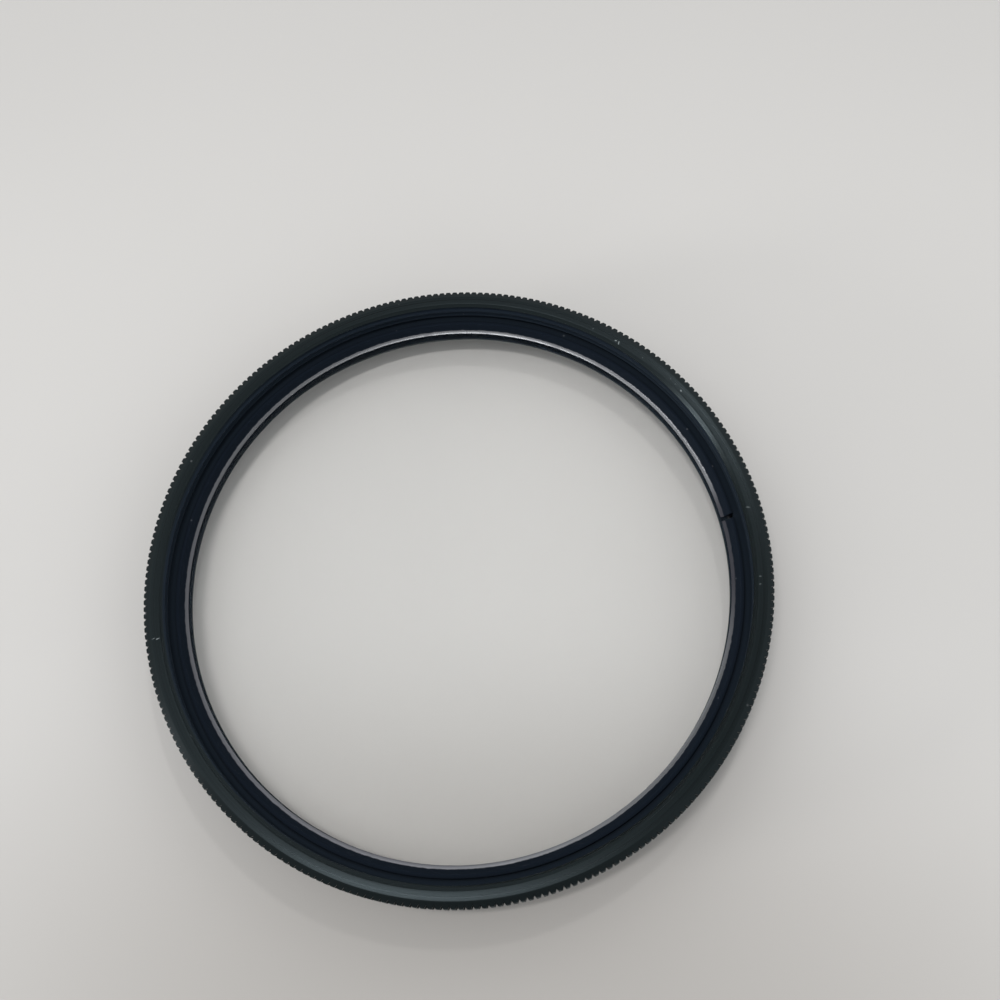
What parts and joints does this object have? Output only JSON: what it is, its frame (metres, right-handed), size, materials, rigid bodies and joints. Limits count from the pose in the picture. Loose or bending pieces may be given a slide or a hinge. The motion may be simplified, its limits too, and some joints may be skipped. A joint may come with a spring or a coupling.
{
  "type": "screw-in lens filter",
  "caption": "Round screw-in camera lens filter: black knurled ring with a front and a rear thread, and a clear glass disc held in by a split spring ring.",
  "frame": {"origin": "on the optical axis, at the plane of the rear edge that the filter lies on", "axes": "+Z along the optical axis towards the front, where the female thread is; +X to the right and +Y away in the picture's view"},
  "size_m": [0.0548, 0.0548, 0.0063],
  "materials": {
    "anodised_ring": "black anodised, satin, finely turned",
    "spring_ring": "black finish with a bright bare inner land",
    "clear_glass": "clear polished optical glass"
  },
  "bodies": {
    "root": {"mount_ring": "anodised_ring", "retaining_ring": "spring_ring", "glass_disc": "clear_glass"}
  },
  "joints": []
}
